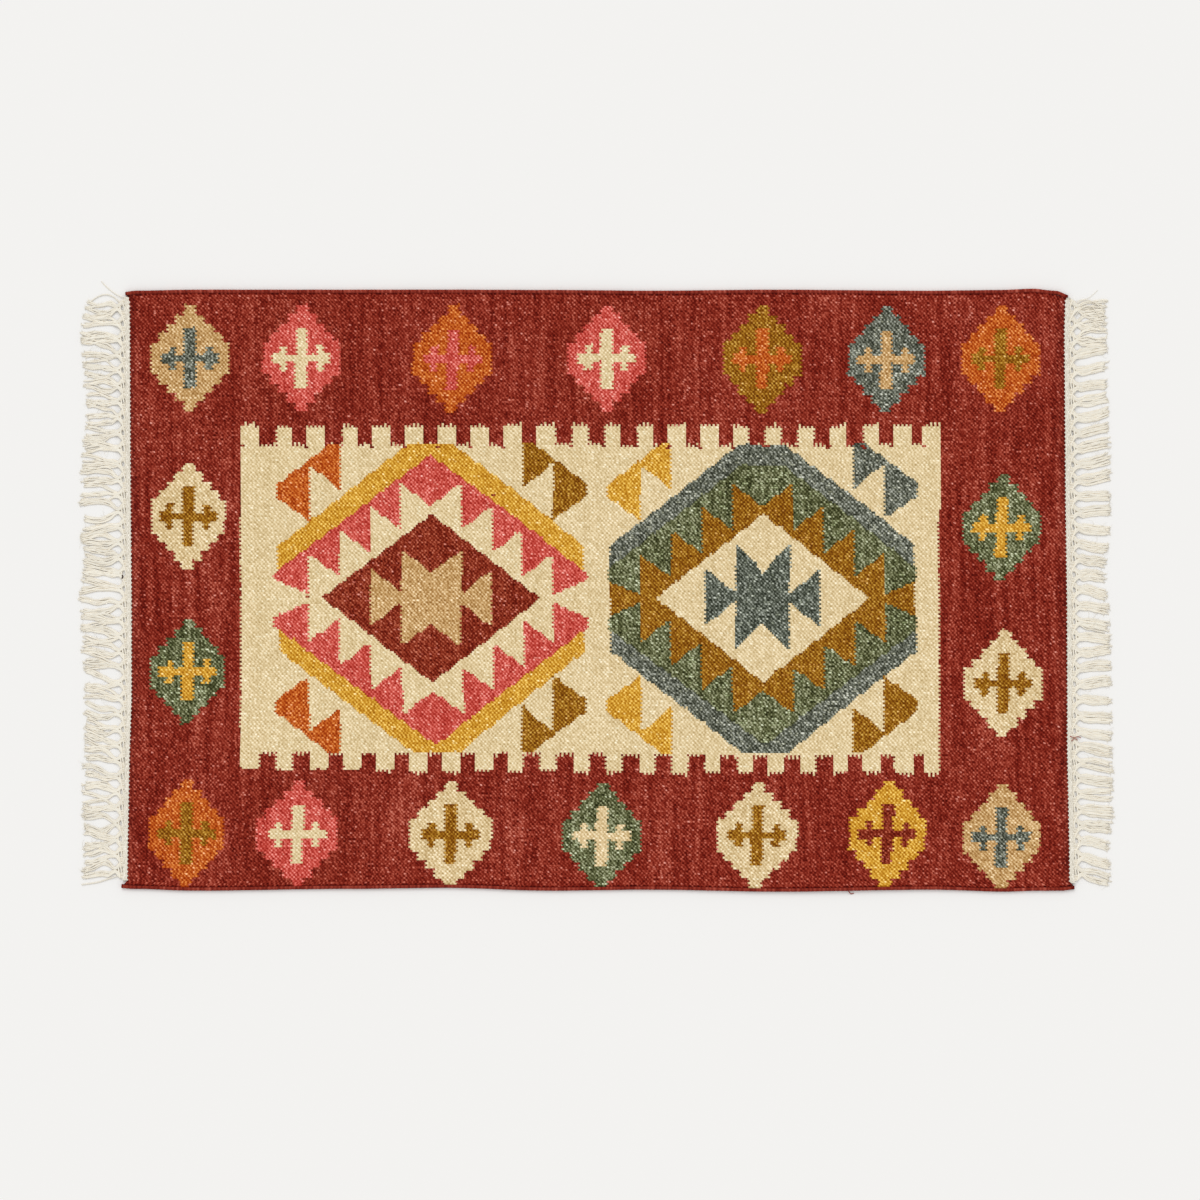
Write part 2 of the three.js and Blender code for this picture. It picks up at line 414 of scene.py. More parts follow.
# The hexagons, in their own quadrant: a across and b up from the middle
HEX_WIDE, HEX_HIGH, HEX_FLAT, HEX_SLOPE = 177.6, 179.6, 26.8, 0.78
TOOTH = 35.5
# The serrated edge: its height at the middle, its fall to a tooth's outer side and its rise from
# there along the tooth. Then the height at which the fifth tooth starts, and its slope
EDGE_HIGH, EDGE_FALL, EDGE_RISE = 161.4, 0.773, 0.758
LAST_HIGH, LAST_SLOPE = 4.3, 0.453
# The figure's wings: half their height where they start, and how fast they widen
WING_HALF, WING_SLOPE = 4.9, 0.82
# The corner teeth: how far out and up they reach, where the slanting side starts and how it falls.
# Then the lower side of the outer tooth and of the inner one: its height and its slope
CORNER_WIDE, CORNER_HIGH, CORNER_FLAT, CORNER_FALL = 181, 180, 118.7, 0.762
OUTER_HIGH, OUTER_SLOPE = 91.1, 0.706
INNER_HIGH, INNER_SLOPE = 126.1, 0.85


def hexagon(a, b):
    """Inside the hexagon's outline."""
    return (a < HEX_WIDE) & (b < HEX_HIGH) & (b < HEX_HIGH - HEX_SLOPE * (a - HEX_FLAT))


def serrated(a, b):
    """Further out than the serrated edge, which has five teeth in each quadrant."""
    outer = TOOTH * (np.floor(a / TOOTH) + 1)
    edge = EDGE_HIGH - EDGE_FALL * outer - EDGE_RISE * (outer - a)
    last = LAST_HIGH + LAST_SLOPE * (a - 4 * TOOTH)
    return b > np.where(a > 4 * TOOTH, last, edge)


def figure(a, b, block, peak, notch):
    """The figure in the diamond: a notched block between two wings that widen outwards."""
    wing = (a >= block) & (a < block + TOOTH) & (b < WING_HALF + WING_SLOPE * (a - block))
    body = (a < block) & (b < notch + (peak - notch) * a / block)
    return body | wing


def corner_teeth(a, b):
    """The two teeth in each corner beside the hexagon."""
    past_outer, past_inner = a - 4 * TOOTH, a - 3 * TOOTH
    outer = (past_outer > 0) & (a < CORNER_WIDE) & (b > OUTER_HIGH + OUTER_SLOPE * past_outer)
    inner = (past_inner > 0) & (past_outer <= 0) & (b > INNER_HIGH + INNER_SLOPE * past_inner)
    side = CORNER_HIGH - CORNER_FALL * np.maximum(a - CORNER_FLAT, 0)
    return (outer | inner) & (b < side)


# lean is how far the lowest tip has slipped towards +X. above and below are the band's inner edge
# in the upper and the lower half: its height, its fall outwards, and how far out it starts to fall.
# reach is how far out the zone inside it goes. half is the diamond's half width and height. shape
# is the figure's sizes: half width of its block, height at the block's corners and at its notch.
# corners go round from the top left one.
HEXAGONS = [
    dict(x=-192.6, y=-9.4, lean=7.0, ground="cream", band="yellow", above=(167.4, 0.753, 0),
         below=(170.6, 0.753, 0), zone="pink", reach=182.6, diamond="maroon", half=(127.2, 97.2),
         figure="tan", shape=(34.9, 55.5, 29.7), corners=("orange", "brown", "brown", "orange")),
    dict(x=193.2, y=-9.4, lean=2.6, ground="brown", band="slate", above=(156.1, 0.78, 24.0),
         below=(168.0, 0.75, 3.0), zone="green", reach=178.8, diamond="cream", half=(124.0, 97.5),
         figure="iron", shape=(31.4, 62.9, 28.3), corners=("yellow", "slate", "brown", "yellow")),
]


def draw_hexagon(chart, x, y, row):
    """Draws one hexagon and its corner teeth on the chart."""
    dx, dy = x - row["x"], y - row["y"]
    a, b = np.abs(dx), np.abs(dy)
    left, top = dx < 0, dy > 0
    for quadrant, yarn in zip((left & top, ~left & top, ~left & ~top, left & ~top), row["corners"]):
        chart[quadrant & corner_teeth(a, b)] = INDEX[yarn]
    a = np.abs(dx - row["lean"] * (np.clip(-dy, 0, HEX_HIGH) / HEX_HIGH) ** 2)
    edges = [b < height - fall * np.maximum(a - flat, 0)
             for height, fall, flat in (row["above"], row["below"])]
    inner = np.where(top, *edges)
    chart[hexagon(a, b)] = INDEX[row["ground"]]
    chart[inner & (a < row["reach"]) & serrated(a, b)] = INDEX[row["zone"]]
    chart[hexagon(a, b) & ~inner] = INDEX[row["band"]]
    chart[a / row["half"][0] + b / row["half"][1] < 1] = INDEX[row["diamond"]]
    chart[figure(a, b, *row["shape"])] = INDEX[row["figure"]]


# The border's medallions. Columns: x, y, ground yarn, cross yarn, half width
MEDALLIONS = [
    (-473.2, 269.5, "tan", "slate", 46.0),
    (-342.8, 269.5, "pink", "cream", 45.0),
    (-168.2, 270.0, "orange", "pink", 46.0),
    (12.2, 269.5, "pink", "cream", 45.5),
    (192.6, 269.0, "brown", "orange", 45.0),
    (337.0, 268.5, "slate", "tan", 45.0),
    (470.8, 269.0, "orange", "brown", 45.5),
    (-474.9, 85.7, "oat", "brown", 42.4),
    (-476.3, -95.3, "green", "yellow", 42.8),
    (471.6, 73.6, "green", "yellow", 44.5),
    (473.2, -109.1, "oat", "brown", 45.6),
    (-477.8, -283.2, "orange", "brown", 43.5),
    (-347.4, -283.2, "pink", "cream", 47.0),
    (-170.5, -285.0, "oat", "brown", 47.0),
    (6.4, -285.5, "green", "oat", 45.5),
    (186.8, -285.5, "oat", "brown", 46.0),
    (338.1, -284.5, "yellow", "maroon", 44.5),
    (472.0, -286.8, "tan", "slate", 44.0),
]
UPRIGHT_HALF, STEP_RISE, STEPS_UP, TIP_HALF = 19.2, 10.6, 4, 6.0
# The share of a step's run that is a sharp tread. The rest slants
TREAD = 0.8


def stepped_diamond(a, b, half_wide):
    """A diamond with upright sides and four slanting steps to each tip."""
    run = (half_wide - TIP_HALF) / STEPS_UP
    rise = (b - UPRIGHT_HALF) / STEP_RISE
    level = np.where(rise < 0, 0, TREAD * (1 + np.floor(rise)) + (1 - TREAD) * rise)
    return (a < half_wide - run * level) & (rise < STEPS_UP)


# Half the width and height of the cross's upright, of its beam and of the arms that cross the beam,
# how far out those are, and half the beam's height beyond them
BAR, BEAM, ARM = (6.6, 34.8), (33.8, 4.6), (3.8, 14.4)
ARM_OUT, BEAM_END = 21.5, 5.6


def crosslet(a, b):
    """A cross whose side arms are crossed again near their ends."""
    bar = (a < BAR[0]) & (b < BAR[1])
    beam = (a < BEAM[0]) & (b < np.where(a > ARM_OUT, BEAM_END, BEAM[1]))
    arm = (np.abs(a - ARM_OUT) < ARM[0]) & (b < ARM[1])
    return bar | beam | arm


# Stray floats in the field and its motifs. Columns: x, y, half width, yarn
STRAYS = [
    (-411.5, 167.5, 1.8, "maroon"),
    (-336.3, -7.8, 1.6, "maroon"),
    (-119.9, 110.5, 1.8, "red"),
    (108.8, 98.0, 1.8, "red"),
    (200.2, 169.0, 1.8, "red"),
    (313.7, 164.4, 1.8, "red"),
]
STRAY_HIGH = 1.6


def draw_stray(chart, x, y, middle, half, yarn):
    """Draws a float or two of a stray yarn."""
    chart[(np.abs(x - middle[0]) < half[0]) & (np.abs(y - middle[1]) < half[1])] = INDEX[yarn]


EARLY_TURNS = 0.03
LONG_SPIKES = 0.35
MOST_LEAN = 0.05
# How far upright outlines keep to whole floats, from not at all to always
FLOAT_SHARE = 0.8


def woven_chart():
    """The yarn's number for each pick on each rib, worked out from the shapes above."""
    dice = np.random.default_rng(61)
    rib, pick = np.mgrid[0:RIBS, 0:PICKS]
    odd = rib % 2
    float_middle = np.clip(2 * ((pick + odd) // 2) + 1 - odd, 0.5, PICKS - 0.5)
    middle = pick + 0.5
    middle = middle + FLOAT_SHARE * (float_middle - middle)
    across = (rib + 0.5) / RIBS
    x, y = wandering(*on_cloth(middle / PICKS, across))

    field = Field(dice)
    chart = np.full(rib.shape, INDEX["red"])
    cream = field.cream(x, y)
    chart[cream] = INDEX["cream"]

    # Along the field's front and back edges alternate cream picks reach a rib or two into the red
    uneven = (y > FIELD_Y[0] + EVEN_HIGH) | (x > EVEN_TO)
    for toward in (-1, 1):
        spike = np.roll(cream, toward, axis=0) & ~cream & (pick % 2 == 0) & uneven
        long = dice.random(cream.shape) < LONG_SPIKES
        longer = np.roll(spike, toward, axis=0) & ~cream & long
        chart[spike | longer] = INDEX["cream"]

    for row in HEXAGONS:
        draw_hexagon(chart, x, y, row)
    x, y = wandering(*on_cloth(float_middle / PICKS, across))
    for middle_x, middle_y, ground, cross, half_wide in MEDALLIONS:
        lean = dice.uniform(0, MOST_LEAN)
        dy = y - middle_y
        a, b = np.abs(x - middle_x - lean * dy), np.abs(dy)
        chart[stepped_diamond(a, b, half_wide)] = INDEX[ground]
        chart[crosslet(a, b)] = INDEX[cross]

    # Here and there a pick turns back a rib early
    early = dice.random(chart.shape) < EARLY_TURNS
    chart = np.where(early, np.roll(chart, 1, axis=0), chart)
    for place in field.tails():
        draw_stray(chart, x, y, place, TAIL_HALF, "red")
    for at_x, at_y, half, yarn in STRAYS:
        draw_stray(chart, x, y, (at_x, at_y), (half, STRAY_HIGH), yarn)
    return chart


def packed(chart):
    """Eight picks' yarn numbers as the digits of two values, for each face of each rib."""
    digits = chart.reshape(RIBS, -1, 2, PICKS_PER_FACE // 2)
    return (digits * DIGIT ** np.arange(PICKS_PER_FACE // 2)).sum(-1)


def all_of(yarn):
    """A face's value where all its picks are of one yarn."""
    return INDEX[yarn] * sum(DIGIT ** k for k in range(PICKS_PER_FACE // 2))


# Materials


def linear(colour):
    """A colour given as it is seen, from 0 to 255, for a shader."""
    seen = np.array(colour) / 255
    light = np.where(seen <= 0.04045, seen / 12.92, ((seen + 0.055) / 1.055) ** 2.4)
    return (*light, 1.0)


class Shader:
    """Builds a material from short expressions."""

    def __init__(self, name):
        self.material = bpy.data.materials.new(name)
        self.material.use_nodes = True
        self.tree = self.material.node_tree
        self.tree.nodes.clear()

    def add(self, kind, inputs=(), **settings):
        """Adds a node, with its settings and what its inputs hold or are linked to."""
        node = self.tree.nodes.new("ShaderNode" + kind)
        for name, value in settings.items():
            setattr(node, name, value)
        for socket, value in dict(inputs).items():
            self.feed(node.inputs[socket], value)
        return node

    def feed(self, socket, value):
        """Links a socket, or sets its own value."""
        if isinstance(value, bpy.types.NodeSocket):
            self.tree.links.new(value, socket)
        else:
            socket.default_value = value

    def math(self, operation, *values):
        return self.add("Math", dict(enumerate(values)), operation=operation).outputs[0]

    def plus(self, a, b):
        return self.math("ADD", a, b)

    def minus(self, a, b):
        return self.math("SUBTRACT", a, b)

    def times(self, a, b):
        return self.math("MULTIPLY", a, b)

    def parts(self, vector):
        """The first two parts of a vector."""
        return self.add("SeparateXYZ", {0: vector}).outputs[:2]

    def weave(self):
        """The weave map's pair."""
        return self.parts(self.add("UVMap", uv_map="weave").outputs[0])

    def chart(self):
        """The face's two values."""
        return self.parts(self.add("Attribute", attribute_name="chart").outputs["Vector"])

    def vector(self, x, y, z=0.0):
        return self.add("CombineXYZ", {0: x, 1: y, 2: z}).outputs[0]

    def grey(self, value):
        return self.add("CombineColor", {0: value, 1: value, 2: value}).outputs[0]

    def chance(self, x, y, z=0.0):
        """A random number from 0 to 1 for each place."""
        node = self.add("TexWhiteNoise", {"Vector": self.vector(x, y, z)}, noise_dimensions="3D")
        return node.outputs["Value"]

    def noise(self, x, y, detail=1.0, z=0.0):
        """A smooth noise from 0 to 1 at a scale of one unit."""
        inputs = {"Vector": self.vector(x, y, z), "Scale": 1.0, "Detail": detail}
        return self.add("TexNoise", inputs, noise_dimensions="3D").outputs[0]

    def blend(self, share, a, b, blend_type="MIX"):
        """Mixes two colours."""
        node = self.add("Mix", data_type="RGBA", blend_type=blend_type, clamp_factor=True)
        for socket, value in ((0, share), (6, a), (7, b)):
            self.feed(node.inputs[socket], value)
        return node.outputs[2]

    def steps(self, value, colours):
        """One of some colours and its alpha, by a whole number from 0 up."""
        node = self.add("ValToRGB", {0: self.times(self.plus(value, 0.5), 1 / DIGIT)})
        node.color_ramp.interpolation = "CONSTANT"
        elements = node.color_ramp.elements
        elements[1].position = 1 / DIGIT
        while len(elements) < len(colours):
            elements.new(len(elements) / DIGIT)
        for element, colour in zip(elements, colours):
            element.color = colour
        return node.outputs

    def finish(self, colour, height, depth, roughness, sheen):
        """Ends the material in a shader with a bump of a depth in millimetres."""
        bump = self.add("Bump", {"Strength": 1.0, "Distance": depth * MM, "Height": height})
        shader = self.add("BsdfPrincipled", {
            "Base Color": colour,
            "Roughness": roughness,
            "Specular IOR Level": 0.05,
            "Sheen Weight": sheen,
            "Sheen Roughness": 0.6,
            "Normal": bump.outputs[0],
        })
        self.add("OutputMaterial", {"Surface": shader.outputs[0]})
        return self.material


def yarn_of(s, pick):
    """The number of a pick's yarn: one digit of the face's two values."""
    first, second = s.chart()
    place = s.math("FLOORED_MODULO", s.math("FLOOR", pick), PICKS_PER_FACE)
    later = s.math("GREATER_THAN", place, PICKS_PER_FACE / 2 - 0.5)
    value = s.plus(s.times(first, s.minus(1.0, later)), s.times(second, later))
    place = s.minus(place, s.times(later, PICKS_PER_FACE / 2))
    shifted = s.math("DIVIDE", value, s.math("POWER", DIGIT, place))
    return s.math("FLOORED_MODULO", s.math("FLOOR", shifted), DIGIT)


def bulge(s, share):
    """0 at both ends of a share from 0 to 1, and 1 in its middle."""
    return s.math("SINE", s.times(share, math.pi))


def weighted(s, *rows):
    """The sum of noises about 0, each times its own weight."""
    total = 0.0
    for source, weight in rows:
        total = s.plus(total, s.times(s.minus(source, 0.5), weight))
    return total


# As shares of a float's width: how far it may lean over its rib, and how far the picks may stray
# along a rib
SLANT, UNEVEN_PACKING = 0.42, 0.8
# How far yarn may be lighter or darker than its colour, how much stronger the colour is where it
# is darker, and the slope and darkness of the painted shade along the cloth's edges
LIGHTEST, DARKEST = -0.32, 0.6
DEEPENING = 1.6
DIP_SLOPE, DIP_SHADE_DARK = 1.6, 0.24


def woven_material(name):
    """Weft-faced cloth: floats in brick order, flecks, fuzz, uneven picks and streaks of dye, with
    painted shade between floats and along the edges and painted light on the floats' crowns.
    """
    s = Shader(name)
    pick, rib = s.weave()
    yarn = yarn_of(s, pick)
    base = s.steps(yarn, [linear(row[0]) for row in YARNS.values()])[0]
    fleck = s.steps(yarn, [linear(row[1]) for row in YARNS.values()])[0]
    traits, streaked = s.steps(yarn, [row[2:] for row in YARNS.values()])
    fleck_share, uneven, gap_shade = s.add("SeparateColor", {0: traits}).outputs

    # Places within a float, which slants with its yarn's twist, and the numbers of the float,
    # of its two strands and of its weft
    whole_rib, across_rib = s.math("FLOOR", rib), s.math("FRACT", rib)
    odd = s.math("FLOORED_MODULO", whole_rib, 2.0)
    floats = s.times(s.plus(pick, odd), 0.5)
    slant = s.times(s.noise(s.times(pick, 0.03), s.times(rib, 0.03), 0.0, 13.0), SLANT)
    floats = s.plus(floats, s.times(s.minus(across_rib, 0.5), slant))
    packing = s.noise(s.times(pick, 0.15), s.times(whole_rib, 0.7), 1.0, 17.0)
    floats = s.plus(floats, s.times(s.minus(packing, 0.5), UNEVEN_PACKING))
    whole_float, across_float = s.math("FLOOR", floats), s.math("FRACT", floats)
    strand = s.math("FLOOR", s.times(floats, 2.0))
    weft = s.math("FLOOR", s.times(s.plus(pick, odd), 0.5))
    weft = s.minus(s.times(weft, 2.0), odd)
    mound = s.times(bulge(s, across_float), bulge(s, across_rib))

    # Uneven dye, by the float and by the strand, and painted shade in the gap where two floats of a
    # rib meet, with painted light on the floats' crowns
    fine = weighted(
        s,
        (s.chance(whole_float, whole_rib, 3.3), 0.45),
        (s.chance(strand, whole_rib, 7.7), 0.85),
        (s.noise(s.times(pick, 1.2), s.times(rib, 1.0), 1.0, 4.0), 1.9),
    )
    depth = s.plus(s.chance(whole_float, whole_rib, 5.5), 0.5)
    # Painted shade at the floats' ends and painted light on their middles
    gap_shading = s.times(s.math("COSINE", s.times(across_float, 2 * math.pi)), bulge(s, across_rib))
    fine = s.plus(s.times(fine, uneven), s.times(s.times(gap_shading, depth), gap_shade))

    # Streaks of dye along the wefts, and wide patches
    broad = weighted(
        s,
        (s.noise(s.times(weft, 0.63), s.times(rib, 0.03), 0.0), 1.1),
        (s.noise(s.times(pick, 0.33), s.times(rib, 0.018), 0.0, 5.0), 1.9),
        (s.noise(s.times(pick, 0.04), s.times(rib, 0.02), 1.0, 9.0), 1.3),
    )
    dark = s.plus(fine, s.times(broad, streaked))

    # Painted shade beside the selvedge cords, and on the cloth's first and last picks, under the
    # headings' edges
    for place, count, sunk in ((rib, RIBS, 0.4), (pick, PICKS, 0.0)):
        edge = s.math("MINIMUM", place, s.minus(count, place))
        away = s.math("ABSOLUTE", s.minus(edge, sunk))
        dip_shade = s.math("MAXIMUM", s.minus(1.0, s.times(away, DIP_SLOPE)), 0.0)
        dark = s.plus(dark, s.times(dip_shade, DIP_SHADE_DARK))
    dark = s.math("MINIMUM", s.math("MAXIMUM", dark, LIGHTEST), DARKEST)

    flecked = s.math("LESS_THAN", s.chance(strand, whole_rib, 21.5), fleck_share)
    colour = s.blend(s.times(flecked, bulge(s, across_rib)), base, fleck)
    colour = s.add("Gamma", {0: colour, 1: s.plus(s.times(dark, DEEPENING), 1.0)}).outputs[0]
    colour = s.blend(1.0, colour, s.grey(s.minus(1.0, dark)), "MULTIPLY")

    twist = s.math("ABSOLUTE", s.math("SINE", s.times(floats, 2 * math.pi)))
    height = s.plus(mound, s.times(twist, 0.2))
    return s.finish(colour, height, 0.22, 0.95, 0.03)


# How much painted shade the strands' flanks take
FLANK_SHADE_SHARE = 0.5


def cord_material(name):
    """Plied cotton: a cream cord with its twist, fuzz and a little unevenness, and painted shade on
    its flanks and in its plies' grooves.
    """
    s = Shader(name)
    along, around = s.weave()
    number = s.chart()[0]
    ply = s.plus(s.times(along, 0.42), s.times(around, 2.0))
    twist = s.math("ABSOLUTE", s.math("SINE", s.times(ply, math.pi)))
    streak = s.noise(s.times(along, 0.11), number, 2.0)
    fuzz = s.noise(s.times(along, 1.7), s.times(around, 4.0), 2.0)
    # Painted shade: the plies' grooves a little darker than their crowns, besides the bump
    light = s.plus(0.86, s.times(twist, 0.04))
    light = s.plus(light, s.times(s.chance(number, 1.0), 0.10))
    light = s.plus(light, s.times(fuzz, 0.05))
    colour = s.blend(streak, linear((249, 247, 239)), linear((243, 235, 215)))

    # Painted shade: the strand's flanks, where it meets its neighbours, are darker and yellower
    # than its crown
    flank_shade = s.math("COSINE", s.times(around, 2 * math.pi))
    flank_shade = s.times(s.times(flank_shade, flank_shade), FLANK_SHADE_SHARE)
    colour = s.blend(flank_shade, colour, linear((230, 210, 180)))
    colour = s.blend(1.0, colour, s.grey(light), "MULTIPLY")
    height = s.plus(twist, s.times(fuzz, 0.6))
    return s.finish(colour, height, 0.10, 0.9, 0.05)


# Loose wool: red and near black
LOOSE_COLOURS = ((150, 58, 44), (62, 44, 42))


def loose_material(name):
    """Loose wool, with its fuzz, in the colour of its number."""
    s = Shader(name)
    along, around = s.weave()
    colour = s.steps(s.chart()[0], [linear(row) for row in LOOSE_COLOURS])[0]
    fuzz = s.noise(s.times(along, 1.9), s.times(around, 3.0), 2.0)
    colour = s.blend(1.0, colour, s.grey(s.plus(0.7, s.times(fuzz, 0.6))), "MULTIPLY")
    return s.finish(colour, fuzz, 0.2, 0.95, 0.08)


# The pieces of the rug


def make_cloth(material):
    """The cloth between its selvedges, ribbed on both faces, with its pattern on every face."""
    dice = np.random.default_rng(5)
    along = np.arange(0, PICKS + 1, PICKS_PER_FACE) / PICKS
    across = np.arange(2 * RIBS + 1) / (2 * RIBS)
    along, across = np.meshgrid(along, across)
    x, y = on_cloth(along, across)
    level = ripple(x, y)
    groove = np.where(np.arange(2 * RIBS + 1) % 2 == 0, RIDGE, 0.0)[:, None]
    top = level + CLOTH_TOP + 0.15 - groove + dice.normal(0, 0.04, x.shape)
    mesh = Mesh()
    add_slab(
        mesh,
        np.stack([x, y, top], -1),
        np.stack([x, y, level + 0.8 * groove], -1),
        np.stack([along * PICKS, across * RIBS], -1),
        np.stack([along, across], -1),
        packed(woven_chart()).repeat(2, axis=0).reshape(-1, 2),
    )
    piece = mesh.build("rug_cloth_woven", material)
    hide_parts("rug_cloth")
    return piece


WRAP_STEPS = 4
WRAP_BULGE = 0.15


def make_selvedges(material):
    """The two wrapped cords along the long edges."""
    steps = PICKS // 2 * WRAP_STEPS + 1
    along = np.linspace(-0.001, 1.001, steps)
    front, back = long_edges(along)
    wrap = np.abs(np.sin(math.pi * (np.arange(steps) + 0.5) / WRAP_STEPS))
    paths, radii = [], []
    for y in (front + CORD_RADIUS, back - CORD_RADIUS):
        x = between_ends(along, y)
        paths.append(np.stack([x, y, ripple(x, y) + CORD_RADIUS + 0.05], -1))
        radii.append(CORD_RADIUS - WRAP_BULGE * (1 - wrap) + 0.05 * np.sin(x / 9))
    mesh = Mesh()
    picks = np.broadcast_to(along * PICKS, (2, steps))
    add_tubes(mesh, np.array(paths), np.array(radii), 8, picks, around=(-0.75, -0.25),
              numbers=all_of("edge"), grid=(1, 2))
    return mesh.build("selvedge_cords", material)


COTTON_PICK = 1.1
HEADING_PAST = 4.0
# Lines of the heading's section. Columns: how far out from the wool's end, top, underside
HEADING_SECTION = np.array([
    (0.0, CLOTH_TOP + 0.55, CLOTH_TOP + 0.25),
    (0.5, CLOTH_TOP + 0.50, 0.0),
    (1.6, HEADING_TOP + 1.15, 0.0),
    (3.0, HEADING_TOP + 0.75, 0.0),
    (4.4, HEADING_TOP + 0.30, 0.0),
    (5.2, HEADING_TOP - 0.40, 0.0),
])
# How far the heading's picks reach over the wool: between two ribs, on one, between, on the next
TEETH_REACH = np.array((0.7, 1.9, 0.7, 0.2))


def make_heading(name, end, material):
    """A narrow cotton strip on the cloth's own ribs, whose first picks interlock with the wool."""
    front, back = end["front"] - HEADING_PAST, end["back"] + HEADING_PAST
    row = np.arange(2 * RIBS + 1)
    _, y = on_cloth(end["share"], row / (2 * RIBS))
    row = row[(y > front) & (y < back)]
    y = y[(y > front) & (y < back)]
    line, row = np.meshgrid(np.arange(len(HEADING_SECTION))[::end["outward"]], row)
    y = y[:, None] + 0 * line
    out, top, under = (HEADING_SECTION[line, column] for column in range(3))
    out = out - np.where(line == 0, TEETH_REACH[row % 4], 0)
    x = straight(END_EDGES, y, end["column"]) + end["outward"] * out
    level = ripple(x, y)
    groove = np.where((row % 2 == 0) & (line > 1), 0.3, 0.0)
    mesh = Mesh()
    add_slab(
        mesh,
        np.stack([x, y, level + top - groove], -1),
        np.stack([x, y, level + under + groove], -1),
        np.stack([PICKS / 2 + out / COTTON_PICK, row / 2], -1),
        np.stack([(y - front) / (back - front), line / (len(HEADING_SECTION) - 1)], -1),
        (all_of("cotton"), all_of("cotton")),
    )
    piece = mesh.build(f"heading_{name}_woven", material)
    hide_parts(f"heading_{name}")
    return piece


TWINE_RADIUS = 0.95
TWINE_SWING, TWINE_LEAN = 2.05, 0.45
TWINE_LEVEL, TWINE_LIFT = 1.9, 0.7
TWINE_STEP = 0.9
PLY_TURN = 6.8


def tuft_middles(end):
    """y of each tuft's middle, where the twined row's two cords part, and their pitch."""
    pitch = (end["back"] - end["front"]) / TUFTS
    return end["front"] + (np.arange(TUFTS) + 0.5) * pitch, pitch


def make_twining(name, end, material):
    """Two plied cords that cross between the tufts and part round an eye at each."""
    middles, pitch = tuft_middles(end)
    y = np.arange(end["front"], end["back"], TWINE_STEP)
    phase = math.pi * (y - middles[0]) / pitch
    uneven = 1 + 0.18 * np.sin(y / 23 + 1.0) + 0.18 * np.sin(y / 9.7)
    middle_x = straight(END_EDGES, y, end["column"]) + end["outward"] * TWINE_MIDDLE
    middle_x = middle_x - TWINE_LEAN * np.sin(2 * phase)
    angle = 2 * math.pi * np.arange(8) / 8
    paths = []
    for sign in (-1, 1):
        x = middle_x + end["outward"] * sign * TWINE_SWING * uneven * np.cos(phase)
        z = ripple(x, y) + TWINE_LEVEL - sign * TWINE_LIFT * np.sin(phase)
        paths.append(np.stack([x, y, z], -1))
    paths = np.array(paths)
    plies = 1 + 0.13 * np.cos(2 * (angle - 2 * math.pi * y[:, None] / PLY_TURN))
    mesh = Mesh()
    along = np.broadcast_to(y - y[0], paths.shape[:2])
    radii = np.full(paths.shape[:2], TWINE_RADIUS)
    add_tubes(mesh, paths, radii, 8, along, numbers=(1, 2), lobes=plies, grid=(1, 2))
    piece = mesh.build(f"twining_{name}", material)
    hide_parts(f"twine_{name}")
    return piece


STRANDS = 14
STRAND_RADIUS = 0.86
ROOT_STEPS, FREE_STEPS = 5, 15
ROOT_OUT, GATHER_OUT = 4.3, 14.0
EYE_HALF = 3.5
SQUASH = 0.72
TANGLE_FROM = 278


def tuft_style(name, middle, dice):
    """How a tuft lies.

    gathered is its half width beyond the twined row, and half that of its bundles' middles.
    packing is the distance between a bundle's strands, and fan the share of the tuft's length over
    which they reach it. sway and curl are how far bundles and strands wave.
    """
    if name == "left":
        return dict(bundles=dice.choice([2, 2, 3, 3, 4]), gathered=2.8, half=dice.uniform(4.4, 7.2),
                    packing=dice.uniform(0.8, 1.2), fan=dice.uniform(0.2, 0.6), sway=2.3,
                    curl=0.5, shift=1.8)
    if middle > TANGLE_FROM:
        return dict(bundles=3, gathered=3.4, half=6.5, packing=1.15, fan=0.25, sway=1.5, curl=0.6,
                    shift=1.4)
    bundles = 2 if dice.random() < 0.35 else 1
    half = dice.uniform(2.6, 4.0) if bundles == 2 else 0.0
    return dict(bundles=bundles, gathered=3.8, half=half, packing=dice.uniform(0.75, 0.95),
                fan=dice.uniform(0.15, 0.4), sway=0.7, curl=0.3, shift=1.4)


def strand_targets(style, dice):
    """Each strand's bundle, and how far to one side of its tuft it ends up."""
    bundles = style["bundles"]
    owner = np.sort(np.arange(STRANDS) % bundles)
    centres = np.linspace(-1, 1, bundles) * style["half"] if bundles > 1 else np.zeros(1)
    centres = centres + dice.uniform(-0.14, 0.14, bundles) * style["half"]
    order = np.array([np.sum(owner[:k] == owner[k]) for k in range(STRANDS)])
    size = np.array([np.sum(owner == one) for one in owner])
    jitter = dice.uniform(-0.35, 0.35, STRANDS)
    return owner, centres[owner] + (order - (size - 1) / 2 + jitter) * style["packing"]


def wave(t, turns, phase):
    """A wave along a strand that starts from nothing."""
    return (np.sin(2 * math.pi * turns * t + phase) - math.sin(phase)) * ease(t / 0.35)


